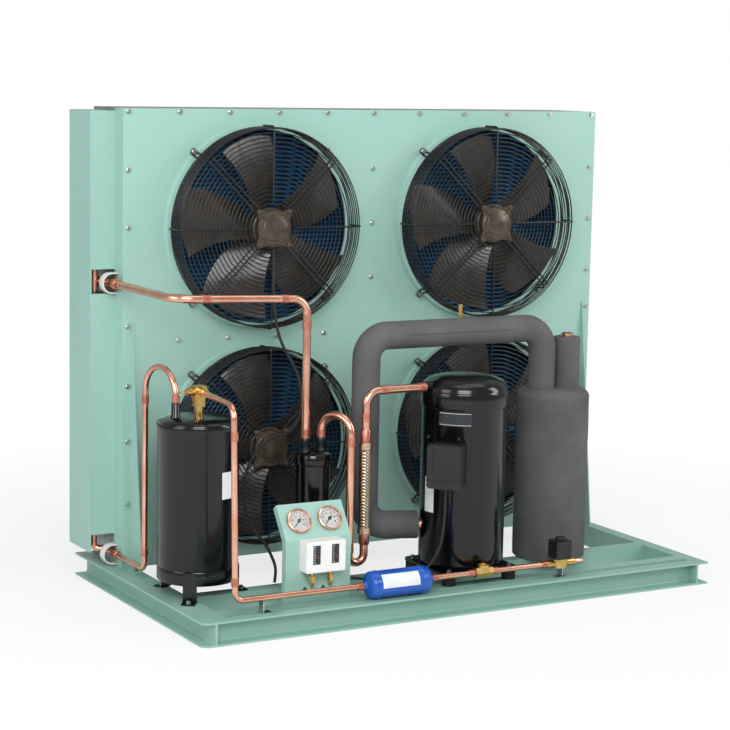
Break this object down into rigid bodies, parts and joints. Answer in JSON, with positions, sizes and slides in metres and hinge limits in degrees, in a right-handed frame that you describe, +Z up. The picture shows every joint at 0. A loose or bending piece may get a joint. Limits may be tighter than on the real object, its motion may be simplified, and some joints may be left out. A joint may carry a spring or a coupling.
{
  "type": "refrigeration condensing unit",
  "caption": "Air-cooled refrigeration condensing unit: green channel base, finned coil behind a fan panel with wire guards, compressor, receiver, separator, accumulator and copper pipes.",
  "frame": {"origin": "middle of the overall box, on the surface that the base channels stand on", "axes": "+X to the right along the fan panel, +Y to the back, towards the coil, +Z up; the fans blow towards -Y"},
  "size_m": [1.6, 0.85, 1.3125],
  "materials": {
    "green_paint": "semi-gloss",
    "galvanised_sheet": "satin",
    "blue_fins": "satin, blue hydrophilic coat",
    "copper_tube": null,
    "white_plastic": "matte",
    "black_wire": "gloss",
    "black_blade": "gloss",
    "motor_casting": "painted black, gloss",
    "zinc_steel": "zinc plated",
    "black_paint": "high gloss",
    "rubber": "matte",
    "black_plastic": "satin",
    "brass": "machined",
    "foam": "matte closed-cell foam",
    "braided_steel": "braided",
    "blue_paint": "gloss",
    "polished_copper": "polished",
    "lens": "clear",
    "pointer_black": "painted black"
  },
  "bodies": {
    "unit": {"accumulator_jacket": "foam", "accumulator_vessel": "black_paint", "braces": "green_paint", "coil_block": "blue_fins", "coil_casing": "galvanised_sheet", "coil_headers": "copper_tube", "compressor_cable": "rubber", "compressor_grommets": "rubber", "compressor_shell": "black_paint", "crossmember_front": "green_paint", "crossmember_rear": "green_paint", "discharge_line": "copper_tube", "discharge_riser": "copper_tube", "end_cover_left": "green_paint", "end_cover_right": "green_paint", "fan_cable": "rubber", "fan_guard_lower_left": "black_wire", "fan_guard_lower_right": "black_wire", "fan_guard_upper_left": "black_wire", "fan_guard_upper_right": "black_wire", "fan_motors": "motor_casting", "fan_panel": "green_paint", "filter_drier": "blue_paint", "foot_bolts": "zinc_steel", "gauge_cases": "polished_copper", "gauge_lenses": "lens", "gauge_panel": "green_paint", "guard_bolts": "zinc_steel", "hot_gas_line": "copper_tube", "liquid_line": "copper_tube", "oil_separator": "black_paint", "panel_screws": "zinc_steel", "pipe_brackets": "zinc_steel", "pipe_trims": "white_plastic", "plenum_divider": "green_paint", "plenum_wrap": "green_paint", "pressure_control": "white_plastic", "rail_front": "green_paint", "rail_left_inner": "green_paint", "rail_left_outer": "green_paint", "rail_right": "green_paint", "receiver_inlet_line": "copper_tube", "receiver_tank": "black_paint", "receiver_valve": "brass", "return_bends": "copper_tube", "service_fittings": "brass", "sight_glass": "brass", "solenoid_coil": "black_plastic", "solenoid_valve": "brass", "suction_insulation": "foam", "suction_pipes": "copper_tube", "terminal_box": "black_plastic", "vibration_absorber": "braided_steel"},
    "rotor_upper_left": {"impeller_upper_left": "black_blade"},
    "rotor_upper_right": {"impeller_upper_right": "black_blade"},
    "rotor_lower_left": {"impeller_lower_left": "black_blade"},
    "rotor_lower_right": {"impeller_lower_right": "black_blade"},
    "needle_low": {"pointer_low": "pointer_black"},
    "needle_high": {"pointer_high": "pointer_black"},
    "spindle": {"valve_stem": "brass"}
  },
  "joints": [
    {"name": "fan_upper_left_spin", "type": "hinge", "parent": "unit", "child": "rotor_upper_left", "pos_m": [-0.3265, 0.195, 0.99155], "axis": [0, -1, 0], "continuous": true},
    {"name": "fan_upper_right_spin", "type": "hinge", "parent": "unit", "child": "rotor_upper_right", "pos_m": [0.3945, 0.195, 0.99155], "axis": [0, -1, 0], "continuous": true},
    {"name": "fan_lower_left_spin", "type": "hinge", "parent": "unit", "child": "rotor_lower_left", "pos_m": [-0.3265, 0.195, 0.38395], "axis": [0, -1, 0], "continuous": true},
    {"name": "fan_lower_right_spin", "type": "hinge", "parent": "unit", "child": "rotor_lower_right", "pos_m": [0.3945, 0.195, 0.38395], "axis": [0, -1, 0], "continuous": true},
    {"name": "pointer_low_turn", "type": "hinge", "parent": "unit", "child": "needle_low", "pos_m": [-0.453, -0.30825, 0.2695], "axis": [0, 0.8174, -0.5761], "range_deg": [0, 270]},
    {"name": "pointer_high_turn", "type": "hinge", "parent": "unit", "child": "needle_high", "pos_m": [-0.363, -0.30825, 0.2695], "axis": [0, 0.8174, -0.5761], "range_deg": [0, 270]},
    {"name": "valve_stem_turn", "type": "hinge", "parent": "unit", "child": "spindle", "pos_m": [-0.659, -0.1385, 0.597], "axis": [1, 0, 0], "range_deg": [0, 1800]}
  ]
}
